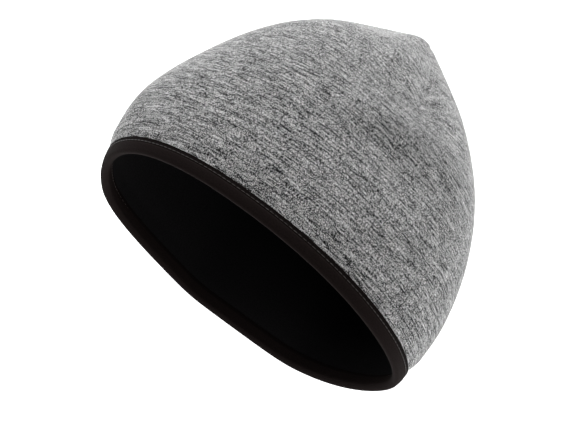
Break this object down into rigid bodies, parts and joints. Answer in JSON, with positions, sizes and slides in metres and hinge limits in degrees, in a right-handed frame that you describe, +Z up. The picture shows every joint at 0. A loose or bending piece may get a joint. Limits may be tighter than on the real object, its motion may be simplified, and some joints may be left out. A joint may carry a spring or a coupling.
{
  "type": "reversible beanie",
  "caption": "Close-fitting knit cap of marl jersey over a dark lining, both rims bound in one dark band, lying on its side.",
  "frame": {"origin": "middle of the flat patch that the hat's lower side rests on, 55 mm in from the rim along the hat's axis", "axes": "+Z up from the floor, +Y from the rim towards the peak, +X towards the back of the hat"},
  "size_m": [0.221, 0.1921, 0.156],
  "materials": {
    "marl_jersey": "grey marl wool jersey, matt",
    "dark_lining": "near-black brushed jersey, matt",
    "dark_band": "brownish black stretch binding, matt"
  },
  "bodies": {
    "root": {"shell": "marl_jersey", "lining": "dark_lining", "rim_band": "dark_band"}
  },
  "joints": []
}
